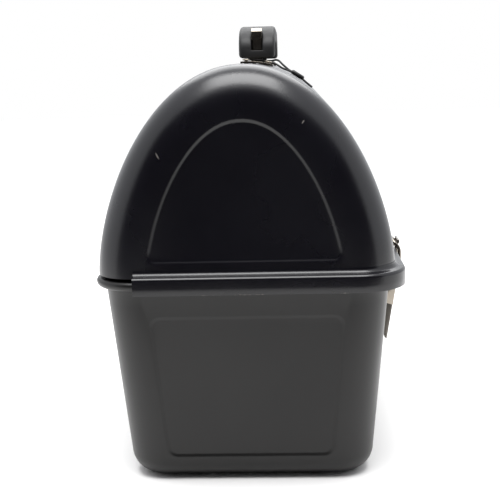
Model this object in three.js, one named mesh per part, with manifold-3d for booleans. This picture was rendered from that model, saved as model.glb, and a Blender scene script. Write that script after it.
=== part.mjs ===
// Dome-top steel lunch box: tapered tub, barrel lid, hinges, two draw latches and a lift-up carry handle.
// Millimetres, +Z up. Origin: centre of the flat bottom. +X: latch side. -X: hinge side. -Y: left end.
import * as THREE from 'three';
import { mergeVertices } from 'three/addons/utils/BufferGeometryUtils.js';
import Module from 'manifold-3d';

const wasm = await Module();
wasm.setup();

// ---------------------------------------------------------------- driving dimensions
const GAP = 0.3; // air between pieces that touch
const SHEET = 1.0; // steel sheet of the tub and lid
const PLATE = 1.2; // pressed steel of hinges, latches and keepers
const WIRE_R = 1.1; // latch wire

const RIM = 115.5; // height of the tub, over its rolled rim
const TUB_TOP_X = 77.4; // half width under the rim
const TUB_TOP_Y = 157; // half length under the rim
const TUB_DRAFT_X = 10; // how far the walls come in towards the bottom
const TUB_DRAFT_Y = 10;
const TUB_CORNER = 20.5;
const TUB_FOOT = 12; // rounding between wall and bottom
const BEAD_R = 2.6; // rolled rim
const BEAD_OUT = 2.3; // bead centre outside the wall
const BEAD_Z = RIM - BEAD_R;

const LID_X = 79.9; // half width of the barrel at its base
const LID_Y = 160; // half length, to the flat end faces
const LID_BASE_Z = RIM + 1.8;
const LID_RISE = 109.2;
const LID_ROUND_X = 2 / 2.05; // powers of the barrel's outline
const LID_ROUND_Z = 2 / 1.62;
const LID_FILLET_TOP = 19.5; // rounding between barrel and end face, at the ridge
const LID_FILLET_BASE = 21.5; // and at the base, where it meets the rim
const RIDGE_Z = LID_BASE_Z + LID_RISE;
const SKIRT_OUT = 5.3; // flange beyond the lid's wall

const HINGE_Y = 64; // the hinges' centres, each side of the middle
const HINGE_HALF = 22;
const HINGE_AXIS = { x: -85.4, z: RIM + 0.3 };
const KNUCKLE_R = 2.5;
const HINGE_PIN_R = 1.2;
const KNUCKLE_HALF = 7.5; // the lid leaf's knuckle in the middle

const LATCH_Y = 80;
const LEVER_PIVOT = { x: 82.6, z: RIM - 15.6 };
const LEVER_PIN_R = 1.3;
const BAIL_PIVOT = { x: 79.8, z: RIM - 24.1 };
const HOOK = { x: 83.4, z: RIM + 6.9 }; // where the bail's crossbar lies in the keeper
const LEG_Y = 9.5; // the bail's legs, each side of the latch's middle
const CHEEK_Y = 12.4; // inner faces of the lever's sides
const EAR_Y = 14.2; // inner faces of the plate's ears
const SKIRT_PASS_X = 87.3; // the bail goes round the lid's skirt here

const GRIP_HALF_Y = 60.5;
const GRIP_HALF_X = 10.8;
const GRIP_TOP_Z = RIDGE_Z + 23.3;
const GRIP_FOOT_Z = RIDGE_Z + 3.2;
const GRIP_THICK = 9;
const HANDLE_X = 5.8; // the handle stands a little towards the latches
const LEG_THICK = 9;
const SLOT_HALF = 3.4;
const SLOT_BOTTOM_Z = RIDGE_Z + 7.6;
const STRAP_HALF = 3;
const STRAP_THICK = 1.2;
const LIP_BOTTOM_Z = RIDGE_Z + 14.1;
const HOOK_TOP_Z = RIDGE_Z + 20.6;

const RIVET_SHANK_R = 1.6;
const RIVET_HEAD_R = 3.1;
const RIVET_HEAD_H = 1.3;

// ---------------------------------------------------------------- materials
function finish(color, roughness, metalness) {
  return new THREE.MeshStandardMaterial({ color, roughness, metalness });
}
const lidPaint = finish(0x1d1e22, 0.45, 0.1);
const tubPaint = finish(0x2c2b2a, 0.5, 0.1);
const plated = finish(0xb9b7b0, 0.28, 1);
const leverSteel = finish(0x8a8782, 0.35, 1);
const gripPlastic = finish(0x1a1a1b, 0.5, 0);
const cordBlack = finish(0x0c0c0d, 0.85, 0);

// ---------------------------------------------------------------- geometry helpers
// Welds the corners and turns the faces outwards.
function weld(geometry) {
  const plain = geometry.clone();
  plain.deleteAttribute('normal');
  plain.deleteAttribute('uv');
  const merged = mergeVertices(plain, 1e-4);
  const at = merged.getAttribute('position');
  const index = Array.from(merged.index.array);
  const corner = [new THREE.Vector3(), new THREE.Vector3(), new THREE.Vector3()];
  let volume = 0;
  for (let i = 0; i < index.length; i += 3) {
    corner.forEach((v, k) => v.fromBufferAttribute(at, index[i + k]));
    volume += corner[0].dot(corner[1].cross(corner[2]));
  }
  const kept = [];
  for (let i = 0; i < index.length; i += 3) {
    const [a, b, c] = index.slice(i, i + 3);
    if (a === b || b === c || c === a) continue;
    kept.push(a, volume < 0 ? c : b, volume < 0 ? b : c);
  }
  merged.setIndex(kept);
  return merged;
}

function solid(geometry) {
  const welded = weld(geometry);
  return new wasm.Manifold(new wasm.Mesh({
    numProp: 3,
    vertProperties: new Float32Array(welded.getAttribute('position').array),
    triVerts: new Uint32Array(welded.index.array),
  }));
}

function fromSolid(body) {
  const mesh = body.getMesh();
  const geometry = new THREE.BufferGeometry();
  geometry.setAttribute('position', new THREE.BufferAttribute(mesh.vertProperties, 3));
  geometry.setIndex(new THREE.BufferAttribute(mesh.triVerts, 1));
  return geometry;
}

const join = (...shapes) => fromSolid(shapes.map(solid).reduce((a, b) => a.add(b)));
const cut = (shape, ...tools) => fromSolid(tools.map(solid).reduce((a, b) => a.subtract(b), solid(shape)));

// A closed skin over rings of equal point count, capped at both ends.
function loft(rings) {
  const count = rings[0].length;
  const positions = rings.flat().flatMap((p) => [p.x, p.y, p.z]);
  const index = [];
  for (let r = 0; r + 1 < rings.length; r += 1) {
    for (let i = 0; i < count; i += 1) {
      const a = r * count + i;
      const b = r * count + ((i + 1) % count);
      index.push(a, b, b + count, a, b + count, a + count);
    }
  }
  [0, rings.length - 1].forEach((r) => {
    const ring = rings[r];
    const normal = new THREE.Vector3();
    ring.forEach((p, i) => normal.add(p.clone().cross(ring[(i + 1) % count])));
    normal.normalize();
    const across = ring[1].clone().sub(ring[0]).normalize();
    const up = normal.clone().cross(across);
    const flat = ring.map((p) => new THREE.Vector2(p.dot(across), p.dot(up)));
    THREE.ShapeUtils.triangulateShape(flat, []).forEach(([a, b, c]) => {
      const face = r === 0 ? [a, c, b] : [a, b, c];
      index.push(...face.map((k) => k + r * count));
    });
  });
  const geometry = new THREE.BufferGeometry();
  geometry.setAttribute('position', new THREE.Float32BufferAttribute(positions, 3));
  geometry.setIndex(index);
  return geometry;
}

// A flat outline of [x, z] points, extruded along Y.
function slab(points, y0, y1) {
  const shape = new THREE.Shape(points.map(([x, z]) => new THREE.Vector2(x, z)));
  const geometry = new THREE.ExtrudeGeometry(shape, { depth: y1 - y0, bevelEnabled: false });
  return geometry.rotateX(Math.PI / 2).translate(0, y1, 0);
}

// A flat outline of [y, z] points, extruded along X.
function sideSlab(points, x0, x1, bevel = 0) {
  const shape = new THREE.Shape(points.map(([y, z]) => new THREE.Vector2(y, z)));
  const options = {
    depth: x1 - x0 - 2 * bevel,
    bevelEnabled: bevel > 0,
    bevelSize: bevel,
    bevelThickness: bevel,
    bevelOffset: -bevel,
    bevelSegments: 2,
  };
  const geometry = new THREE.ExtrudeGeometry(shape, options);
  return geometry.rotateX(Math.PI / 2).rotateZ(Math.PI / 2).translate(x0 + bevel, 0, 0);
}

function box(x0, x1, y0, y1, z0, z1) {
  const block = new THREE.BoxGeometry(x1 - x0, y1 - y0, z1 - z0);
  return block.translate((x0 + x1) / 2, (y0 + y1) / 2, (z0 + z1) / 2);
}

// A round bar from one point to another.
function bar(from, to, radius, sides = 12) {
  const along = to.clone().sub(from);
  const way = along.clone().normalize();
  const turn = new THREE.Quaternion().setFromUnitVectors(new THREE.Vector3(0, 1, 0), way);
  const middle = from.clone().add(to).multiplyScalar(0.5);
  return new THREE.CylinderGeometry(radius, radius, along.length(), sides).applyQuaternion(turn)
    .translate(middle.x, middle.y, middle.z);
}

// A thick line through [x, z] points: a pressed strip seen from its side.
function strip(points, thickness) {
  const path = points.map(([x, z]) => new THREE.Vector2(x, z));
  const side = (sign) => path.map((p, i) => {
    const before = p.clone().sub(path[Math.max(i - 1, 0)]);
    const after = path[Math.min(i + 1, path.length - 1)].clone().sub(p);
    const way = before.normalize().add(after.normalize()).normalize();
    const bend = before.lengthSq() > 0 && after.lengthSq() > 0 ? Math.abs(way.dot(after)) : 1;
    return [p.x - (sign * way.y * thickness) / 2 / bend, p.y + (sign * way.x * thickness) / 2 / bend];
  });
  return [...side(1), ...side(-1).reverse()];
}

// A wire through points, with its corners bent at a radius.
function wire(points, radius, bend, steps) {
  const path = new THREE.CurvePath();
  let from = points[0];
  for (let i = 1; i < points.length - 1; i += 1) {
    const p = points[i];
    const back = points[i - 1].clone().sub(p);
    const on = points[i + 1].clone().sub(p);
    const reach = Math.min(bend, back.length() * 0.45, on.length() * 0.45);
    const start = p.clone().add(back.setLength(reach));
    const end = p.clone().add(on.setLength(reach));
    path.add(new THREE.LineCurve3(from, start));
    path.add(new THREE.QuadraticBezierCurve3(start, p, end));
    from = end;
  }
  path.add(new THREE.LineCurve3(from, points[points.length - 1]));
  return tube(path, radius, steps);
}

function tube(path, radius, steps) {
  const section = new THREE.Shape();
  const sides = 8;
  for (let i = 0; i < sides; i += 1) {
    const turn = ((i + 0.5) * 2 * Math.PI) / sides;
    const x = radius * Math.cos(turn);
    const y = radius * Math.sin(turn);
    if (i === 0) section.moveTo(x, y);
    else section.lineTo(x, y);
  }
  return new THREE.ExtrudeGeometry(section, { steps, bevelEnabled: false, extrudePath: path });
}

const v = (x, y, z) => new THREE.Vector3(x, y, z);

// ---------------------------------------------------------------- scene
const lunchBox = new THREE.Group();

function place(name, geometry, material, parent = lunchBox) {
  const mesh = new THREE.Mesh(weld(geometry), material);
  mesh.name = name;
  parent.add(mesh);
  return mesh;
}

// ---------------------------------------------------------------- outlines of the box
const tubX = (z) => TUB_TOP_X - TUB_DRAFT_X * (1 - z / RIM);
const tubY = (z) => TUB_TOP_Y - TUB_DRAFT_Y * (1 - z / RIM);

// A horizontal ring round the tub, moved out from its wall.
function tubRing(out, z) {
  const ring = [];
  const radius = TUB_CORNER + out;
  const cornerSteps = 6;
  [[1, 1, 0], [-1, 1, 1], [-1, -1, 2], [1, -1, 3]].forEach(([sx, sy, quarter]) => {
    for (let i = 0; i <= cornerSteps; i += 1) {
      const turn = (quarter + i / cornerSteps) * (Math.PI / 2);
      ring.push(v(
        sx * (tubX(z) - TUB_CORNER) + radius * Math.cos(turn),
        sy * (tubY(z) - TUB_CORNER) + radius * Math.sin(turn),
        z,
      ));
    }
  });
  return ring;
}

// A point of the barrel's outline, turn = 0 at the latch side and PI at the hinge side.
function barrelPoint(turn, inset = 0) {
  const c = Math.cos(turn);
  const s = Math.max(Math.sin(turn), 0);
  const x = LID_X * Math.sign(c) * Math.abs(c) ** LID_ROUND_X;
  const z = LID_BASE_Z + LID_RISE * s ** LID_ROUND_Z;
  const normal = new THREE.Vector2(c * LID_RISE ** 0.5, s * LID_X ** 0.5).normalize();
  return new THREE.Vector2(x - inset * normal.x, z - inset * normal.y);
}

// Height of the lid's outer skin above a place near its ridge.
function lidZ(x) {
  const c = (Math.abs(x) / LID_X) ** (1 / LID_ROUND_X);
  return LID_BASE_Z + LID_RISE * Math.sqrt(1 - c * c) ** LID_ROUND_Z;
}

// Half width of the lid's outer skin at a height.
function lidX(z) {
  const s = ((z - LID_BASE_Z) / LID_RISE) ** (1 / LID_ROUND_Z);
  return LID_X * Math.sqrt(1 - s * s) ** LID_ROUND_X;
}

// The lid as a solid barrel with rounded end edges, its skin moved in by an inset.
function barrel(inset, drop) {
  const outlineSteps = 36;
  const filletSteps = 5;
  const rings = [];
  const ring = (end, step) => {
    const turn = (step / filletSteps) * (Math.PI / 2);
    const points = [];
    for (let i = 0; i <= outlineSteps; i += 1) {
      const around = (i / outlineSteps) * Math.PI;
      const rise = Math.sin(around);
      const fillet = LID_FILLET_BASE + (LID_FILLET_TOP - LID_FILLET_BASE) * rise - inset;
      const p = barrelPoint(around, inset + fillet * (1 - Math.cos(turn)));
      const y = end * (LID_Y - inset - fillet * (1 - Math.sin(turn)));
      const low = i === 0 || i === outlineSteps;
      points.push(v(p.x, y, low ? LID_BASE_Z - drop : p.y));
    }
    return points;
  };
  for (let step = filletSteps; step >= 0; step -= 1) rings.push(ring(-1, step));
  for (let step = 0; step <= filletSteps; step += 1) rings.push(ring(1, step));
  return loft(rings);
}

// ---------------------------------------------------------------- rivets
// at: on the outer face; out: the way its head points; stack: what it holds together.
function rivetShape(at, out, stack) {
  const low = -stack - GAP;
  const profile = [
    [0, low - 0.8], [RIVET_HEAD_R * 0.8, low - 0.8], [RIVET_HEAD_R * 0.8, low],
    [RIVET_SHANK_R, low], [RIVET_SHANK_R, GAP], [RIVET_HEAD_R, GAP],
    [RIVET_HEAD_R * 0.8, GAP + RIVET_HEAD_H * 0.7], [0, GAP + RIVET_HEAD_H],
  ].map(([r, y]) => new THREE.Vector2(r, y));
  const turn = new THREE.Quaternion().setFromUnitVectors(v(0, 1, 0), out);
  return new THREE.LatheGeometry(profile, 10).applyQuaternion(turn).translate(at.x, at.y, at.z);
}

function rivetHole(at, out, depth = 6) {
  const from = at.clone().addScaledVector(out, -depth);
  const to = at.clone().addScaledVector(out, depth);
  return bar(from, to, RIVET_SHANK_R + GAP, 10);
}

const rivets = [];
function addRivet(name, at, out, stack, holder) {
  const rivet = { name, at, out: out.normalize(), stack, holder };
  rivets.push(rivet);
  return rivet;
}
const holesFor = (chosen) => rivets.filter(chosen).map((r) => rivetHole(r.at, r.out));
const holesOf = (prefix) => holesFor((r) => r.name.startsWith(prefix));

const tubWallOut = Math.atan(TUB_DRAFT_X / RIM);
const wallStack = PLATE + GAP + SHEET;

// ---------------------------------------------------------------- hinges
const hingePlateOut = GAP + PLATE / 2;
const hingeTubLine = [
  [HINGE_AXIS.x - 1.4, RIM - 3.9],
  [HINGE_AXIS.x + 0.6, RIM - 7.7],
  [-(tubX(RIM - 13) + hingePlateOut), RIM - 13],
  [-(tubX(RIM - 34) + hingePlateOut), RIM - 34],
];
const lidLineStop = (rise) => [-(lidX(RIM + rise) + hingePlateOut), RIM + rise];
const hingeLidLine = [
  [HINGE_AXIS.x + 3, RIM + 3.3],
  lidLineStop(6.5),
  lidLineStop(15),
  lidLineStop(23),
  lidLineStop(31),
];

function knuckle(y0, y1) {
  return bar(v(HINGE_AXIS.x, y0, HINGE_AXIS.z), v(HINGE_AXIS.x, y1, HINGE_AXIS.z), KNUCKLE_R, 16);
}

function addHinge(side, yc) {
  const name = `hinge_${side}`;
  const tubOut = v(-Math.cos(tubWallOut), 0, -Math.sin(tubWallOut));
  const lidSlope = Math.atan2(lidX(RIM + 15) - lidX(RIM + 31), 16);
  const lidOut = v(-Math.cos(lidSlope), 0, Math.sin(lidSlope));
  [-14, 14].forEach((dy, i) => {
    const outer = GAP + PLATE;
    const low = v(-tubX(RIM - 25), yc + dy, RIM - 25).addScaledVector(tubOut, outer);
    const high = v(-lidX(RIM + 23), yc + dy, RIM + 23).addScaledVector(lidOut, outer);
    addRivet(`${name}_tub_rivet_${i + 1}`, low, tubOut.clone(), wallStack, 'tub');
    addRivet(`${name}_lid_rivet_${i + 1}`, high, lidOut.clone(), wallStack, 'lid');
  });
  const bore = bar(
    v(HINGE_AXIS.x, yc - HINGE_HALF - 1, HINGE_AXIS.z),
    v(HINGE_AXIS.x, yc + HINGE_HALF + 1, HINGE_AXIS.z),
    HINGE_PIN_R + 0.2,
    12,
  );
  const neck = strip([[HINGE_AXIS.x - 1.9, HINGE_AXIS.z - 0.4], ...hingeTubLine.slice(0, 2)], PLATE);
  const outerEnds = [[yc - HINGE_HALF, yc - KNUCKLE_HALF - GAP], [yc + KNUCKLE_HALF + GAP, yc + HINGE_HALF]];
  const tubLeaf = join(
    slab(strip(hingeTubLine, PLATE), yc - HINGE_HALF, yc + HINGE_HALF),
    ...outerEnds.map(([y0, y1]) => knuckle(y0, y1)),
    ...outerEnds.map(([y0, y1]) => slab(neck, y0, y1)),
  );
  place(`${name}_tub_leaf`, cut(tubLeaf, bore, ...holesOf(`${name}_tub`)), plated);
  const lidNeck = strip([[HINGE_AXIS.x + 0.9, HINGE_AXIS.z + 1.7], ...hingeLidLine.slice(0, 2)], PLATE);
  const lidLeaf = join(
    slab(strip(hingeLidLine.slice(1), PLATE), yc - HINGE_HALF, yc + HINGE_HALF),
    slab(lidNeck, yc - KNUCKLE_HALF, yc + KNUCKLE_HALF),
    knuckle(yc - KNUCKLE_HALF, yc + KNUCKLE_HALF),
  );
  place(`${name}_lid_leaf`, cut(lidLeaf, bore, ...holesOf(`${name}_lid`)), plated);
  const pin = join(
    bar(
      v(HINGE_AXIS.x, yc - HINGE_HALF - 0.6, HINGE_AXIS.z),
      v(HINGE_AXIS.x, yc + HINGE_HALF + 0.6, HINGE_AXIS.z),
      HINGE_PIN_R,
      12,
    ),
    ...[-1, 1].map((s) => bar(
      v(HINGE_AXIS.x, yc + s * (HINGE_HALF + GAP), HINGE_AXIS.z),
      v(HINGE_AXIS.x, yc + s * (HINGE_HALF + GAP + 0.8), HINGE_AXIS.z),
      HINGE_PIN_R + 0.6,
      12,
    )),
  );
  place(`${name}_pin`, pin, plated);
}

// ---------------------------------------------------------------- draw latches
function addLatch(side, yc) {
  const name = `latch_${side}`;
  const tubOut = v(Math.cos(tubWallOut), 0, -Math.sin(tubWallOut));
  const lidSlope = Math.atan2(lidX(RIM + 10) - lidX(RIM + 26), 16);
  const lidOut = v(Math.cos(lidSlope), 0, Math.sin(lidSlope));
  [RIM - 43, RIM - 15].forEach((z, i) => {
    const at = v(tubX(z), yc, z).addScaledVector(tubOut, GAP + PLATE);
    addRivet(`${name}_plate_rivet_${i + 1}`, at, tubOut.clone(), wallStack, 'tub');
  });
  [-4.2, 4.2].forEach((dy, i) => {
    const at = v(lidX(RIM + 18), yc + dy, RIM + 18).addScaledVector(lidOut, GAP + PLATE);
    addRivet(`${name}_keeper_rivet_${i + 1}`, at, lidOut.clone(), wallStack, 'lid');
  });

  // back plate with an ear each side that carries the lever
  const wall = (drop, out) => [tubX(RIM - drop) + out, RIM - drop];
  const ear = [
    wall(27.5, GAP), wall(10, GAP), [83.2, RIM - 10], [85.3, RIM - 12.3],
    [85.3, RIM - 17.8], [84.6, RIM - 19.5], [82.9, RIM - 30],
  ];
  const back = [wall(52, GAP), wall(10, GAP), wall(10, GAP + PLATE), wall(52, GAP + PLATE)];
  const plate = join(
    slab(back, yc - EAR_Y - PLATE, yc + EAR_Y + PLATE),
    slab(ear, yc - EAR_Y - PLATE, yc - EAR_Y),
    slab(ear, yc + EAR_Y, yc + EAR_Y + PLATE),
  );
  const leverBore = bar(
    v(LEVER_PIVOT.x, yc - 18, LEVER_PIVOT.z),
    v(LEVER_PIVOT.x, yc + 18, LEVER_PIVOT.z),
    LEVER_PIN_R + GAP,
    10,
  );
  place(`${name}_plate`, cut(plate, leverBore, ...holesOf(`${name}_plate`)), plated);

  // lever: two cheeks cut slanting at the tip, and an outer face that leaves room above it for the bail
  const face = [[82.5, -28.6], [80.6, -40], [78.9, -50.4]]
    .map(([x, drop]) => [x, RIM + drop]);
  const cheek = [
    [80.6, -13.2], [84.2, -13.2], [84.9, -18.5], [83.3, -26.6], [81.1, -40], [79.4, -50.2],
    [76.9, -45.5], [77.4, -34], [77.9, -24], [78.9, -19],
  ].map(([x, drop]) => [x, RIM + drop]);
  const lever = join(
    slab(strip(face, PLATE), yc - CHEEK_Y - 1, yc + CHEEK_Y + 1),
    slab(cheek, yc - CHEEK_Y - 1, yc - CHEEK_Y),
    slab(cheek, yc + CHEEK_Y, yc + CHEEK_Y + 1),
  );
  const bailBore = bar(
    v(BAIL_PIVOT.x, yc - 14, BAIL_PIVOT.z),
    v(BAIL_PIVOT.x, yc + 14, BAIL_PIVOT.z),
    WIRE_R + GAP,
    10,
  );
  place(`${name}_lever`, cut(lever, leverBore, bailBore), leverSteel);

  // two short pins through the ears and cheeks
  [-1, 1].forEach((s) => {
    const stub = join(
      bar(v(LEVER_PIVOT.x, yc + s * 11.9, LEVER_PIVOT.z),
        v(LEVER_PIVOT.x, yc + s * 16.2, LEVER_PIVOT.z), LEVER_PIN_R, 10),
      bar(v(LEVER_PIVOT.x, yc + s * (EAR_Y + PLATE + GAP), LEVER_PIVOT.z),
        v(LEVER_PIVOT.x, yc + s * (EAR_Y + PLATE + GAP + 0.9), LEVER_PIVOT.z), 2.3, 12),
    );
    place(`${name}_pivot_${s < 0 ? 'a' : 'b'}`, stub, plated);
  });

  // wire bail: from the lever, round the skirt, to the crossbar in the keeper
  const leg = (s) => [
    v(BAIL_PIVOT.x, yc + s * 13.6, BAIL_PIVOT.z),
    v(BAIL_PIVOT.x, yc + s * LEG_Y, BAIL_PIVOT.z),
    v(82.4, yc + s * LEG_Y, RIM - 14.9),
    v(SKIRT_PASS_X, yc + s * LEG_Y, RIM - 6.7),
    v(SKIRT_PASS_X, yc + s * LEG_Y, RIM + 3.1),
    v(HOOK.x, yc + s * LEG_Y, HOOK.z),
  ];
  place(`${name}_bail`, wire([...leg(-1), ...leg(1).reverse()], WIRE_R, 2.6, 56), plated);

  // keeper on the lid: a plate whose foot turns out and up in front of the crossbar
  const under = HOOK.z - WIRE_R - 0.9 - PLATE / 2;
  const keeperLine = [
    [lidX(RIM + 25) + hingePlateOut, RIM + 25],
    [lidX(RIM + 15) + hingePlateOut, RIM + 15],
    [lidX(under + 1.6) + hingePlateOut, under + 1.6],
    [lidX(under) + hingePlateOut + 1.6, under],
    [HOOK.x + 2.1, under],
    [HOOK.x + 3.4, under + 1.3],
    [HOOK.x + 3.4, under + 3],
  ];
  const keeper = slab(strip(keeperLine, PLATE), yc - 7.4, yc + 7.4);
  place(`${name}_keeper`, cut(keeper, ...holesOf(`${name}_keeper`)), plated);
}

// ---------------------------------------------------------------- carry handle
function gripOutline() {
  const straight = 34;
  const top = (y) => GRIP_TOP_Z - 1.6 * (y / straight) ** 2 * 0.5;
  const arcSteps = 9;
  const outer = [];
  const inner = [];
  const outerR = GRIP_HALF_Y - straight;
  const shoulder = top(straight);
  const outerDrop = shoulder - RIDGE_Z - 9.1;
  const innerY = GRIP_HALF_Y - LEG_THICK;
  const innerTop = GRIP_TOP_Z - GRIP_THICK;
  const innerR = 8;
  outer.push([0, GRIP_TOP_Z], [straight / 2, top(straight / 2)]);
  for (let i = 0; i <= arcSteps; i += 1) {
    const turn = (i / arcSteps) * (Math.PI / 2);
    outer.push([straight + outerR * Math.sin(turn), shoulder - outerDrop * (1 - Math.cos(turn))]);
  }
  outer.push([GRIP_HALF_Y, GRIP_FOOT_Z]);
  inner.push([innerY, GRIP_FOOT_Z]);
  for (let i = 0; i <= 3; i += 1) {
    const turn = (i / 3) * (Math.PI / 2);
    inner.push([innerY - innerR * (1 - Math.cos(turn)), innerTop - innerR * (1 - Math.sin(turn))]);
  }
  inner.push([0, innerTop]);
  const half = [...outer, ...inner];
  const mirrored = half.slice(1, -1).map(([y, z]) => [-y, z]).reverse();
  return [...half, ...mirrored];
}

function addHandle() {
  const ends = [['left', -1], ['right', 1]];
  const span = (a, b) => [Math.min(a, b), Math.max(a, b)];
  const slot = (y0, y1, z0, z1) => box(HANDLE_X - SLOT_HALF, HANDLE_X + SLOT_HALF, y0, y1, z0, z1);
  const cuts = ends.flatMap(([, s]) => [
    slot(...span(s * (GRIP_HALF_Y - LEG_THICK + 1), s * (GRIP_HALF_Y - 1.4)), RIDGE_Z, SLOT_BOTTOM_Z + 1),
    slot(...span(s * (GRIP_HALF_Y - LEG_THICK + 1), s * (GRIP_HALF_Y + 1)), SLOT_BOTTOM_Z, GRIP_TOP_Z + 5),
  ]);
  const gripBar = sideSlab(gripOutline(), HANDLE_X - GRIP_HALF_X, HANDLE_X + GRIP_HALF_X, 2);
  place('handle_grip', cut(gripBar, ...cuts), gripPlastic);

  ends.forEach(([side, s]) => {
    const name = `handle_bracket_${side}`;
    const uprightY = s * (GRIP_HALF_Y - 6.4);
    const lipY = s * (GRIP_HALF_Y - 1.0);
    const footY = s * (GRIP_HALF_Y + 9.5);
    [HANDLE_X - 6.2, HANDLE_X + 6.2].forEach((x, i) => {
      const out = v((lidZ(x - 1) - lidZ(x + 1)) / 2, 0, 1).normalize();
      const at = v(x, s * (GRIP_HALF_Y + 4.6), lidZ(x)).addScaledVector(out, GAP + STRAP_THICK + 0.1);
      addRivet(`${name}_rivet_${i + 1}`, at, out, STRAP_THICK + GAP + SHEET + 0.2, 'lid');
    });
    const hookLine = [
      [uprightY, RIDGE_Z + GAP + 0.2],
      [uprightY, HOOK_TOP_Z - 2],
      [uprightY + s * 1.2, HOOK_TOP_Z - STRAP_THICK / 2],
      [lipY - s * 1.2, HOOK_TOP_Z - STRAP_THICK / 2],
      [lipY, HOOK_TOP_Z - 2],
      [lipY, LIP_BOTTOM_Z],
    ];
    const foot = [];
    const across = [-9.6, -7.2, -4.8, -2.4, 0, 2.4, 4.8, 7.2, 9.6].map((dx) => HANDLE_X + dx);
    across.forEach((x) => foot.push([x, lidZ(x) + GAP]));
    across.reverse().forEach((x) => foot.push([x, lidZ(x) + GAP + STRAP_THICK]));
    const bracket = join(
      sideSlab(strip(hookLine, STRAP_THICK), HANDLE_X - STRAP_HALF, HANDLE_X + STRAP_HALF),
      slab(foot, ...span(uprightY - (s * STRAP_THICK) / 2, footY)),
    );
    place(name, cut(bracket, ...holesOf(`${name}_rivet`)), plated);
  });
}

// ---------------------------------------------------------------- swing-tag cord round the left bracket
const CORD_R = 0.6;
const onLid = (x, y, up = 0) => v(x, y, lidZ(x) + GAP + CORD_R + up);
const cordRoute = [
  onLid(38.3, -61.8),
  onLid(35.4, -61.2),
  onLid(31.6, -60.3),
  onLid(28.0, -59.7, 0.6),
  onLid(24.4, -59.9, 0.4),
  onLid(20.9, -60.7, 0.3),
  onLid(17.4, -60.5, 1.2),
  onLid(13.4, -58.8, 1.8),
  onLid(9.4, -57.2, 1.5),
  onLid(3.7, -56.8, 1.5),
  onLid(0.1, -55.2, 1.5),
  onLid(0.3, -52.4, 1.5),
  onLid(4.7, -51.4, 1.5),
  onLid(10.0, -51.9, 1.7),
  onLid(14.2, -53.6, 2.4),
  onLid(17.9, -56.0, 3.9),
  onLid(21.2, -57.9, 2.3),
  onLid(24.6, -58.4, 0.9),
  onLid(27.8, -58.1, 0.6),
];

function addCord() {
  const path = new THREE.CatmullRomCurve3(cordRoute, false, 'centripetal');
  place('tag_cord', tube(path, CORD_R, 48), cordBlack);
}

// ---------------------------------------------------------------- assembly
addHinge('left', -HINGE_Y);
addHinge('right', HINGE_Y);
addLatch('left', -LATCH_Y);
addLatch('right', LATCH_Y);
addHandle();
addCord();
rivets.forEach((r) => place(r.name, rivetShape(r.at, r.out, r.stack), plated));
const holesIn = (holder) => holesFor((r) => r.holder === holder);

// tub: bottom, wall, rolled bead, then back down the inside
const outside = [];
for (let i = 0; i <= 4; i += 1) {
  const turn = (i / 4) * (Math.PI / 2);
  outside.push([-TUB_FOOT * (1 - Math.sin(turn)), TUB_FOOT * (1 - Math.cos(turn))]);
}
const bead = [];
for (let i = 0; i <= 8; i += 1) {
  const turn = (-140 + i * 36.25) * (Math.PI / 180);
  bead.push([BEAD_OUT + BEAD_R * Math.cos(turn), BEAD_Z + BEAD_R * Math.sin(turn)]);
}
const inside = outside.map(([out, z]) => [out - SHEET, z + SHEET]).reverse();
const tubProfile = [...outside, [0, 60], ...bead, [-SHEET, BEAD_Z - 1], [-SHEET, 60], ...inside];
place('tub_shell', cut(loft(tubProfile.map(([out, z]) => tubRing(out, z))), ...holesIn('tub')), tubPaint);

// lid: hollow barrel, and a flange with a skirt round three sides
const flange = [
  [-0.7, 3.7], [0.1, 3.5], [1.0, 1.9], [3.0, 1.0], [4.6, 0.1], [SKIRT_OUT, -1.6],
  [SKIRT_OUT, -6.9], [SKIRT_OUT - SHEET, -6.9], [SKIRT_OUT - SHEET, -1.9],
  [3.6, -0.9], [0.2, 0], [-0.7, 0],
].map(([out, rise]) => [out, LID_BASE_Z + rise]);
function skirtPath() {
  const stops = [];
  const cornerSteps = 6;
  const near = LID_X - LID_FILLET_BASE;
  const far = LID_Y - LID_FILLET_BASE;
  stops.push([-near, -LID_Y, 0, -1]);
  for (let i = 0; i <= cornerSteps; i += 1) {
    const turn = (-1 + i / cornerSteps) * (Math.PI / 2);
    const c = Math.cos(turn);
    const s = Math.sin(turn);
    stops.push([near + LID_FILLET_BASE * c, -far + LID_FILLET_BASE * s, c, s]);
  }
  for (let i = 0; i <= cornerSteps; i += 1) {
    const turn = (i / cornerSteps) * (Math.PI / 2);
    const c = Math.cos(turn);
    const s = Math.sin(turn);
    stops.push([near + LID_FILLET_BASE * c, far + LID_FILLET_BASE * s, c, s]);
  }
  stops.push([-near, LID_Y, 0, 1]);
  return stops;
}
const flangeAt = ([x, y, nx, ny]) => flange.map(([out, z]) => v(x + nx * out, y + ny * out, z));
const skirt = loft(skirtPath().map(flangeAt));
const hollow = cut(barrel(0, 0), barrel(SHEET, 5));
place('lid_shell', cut(join(hollow, skirt), ...holesIn('lid')), lidPaint);

export default lunchBox;
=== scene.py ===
import math

import bmesh
import bpy
from mathutils import Matrix, Vector


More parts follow.
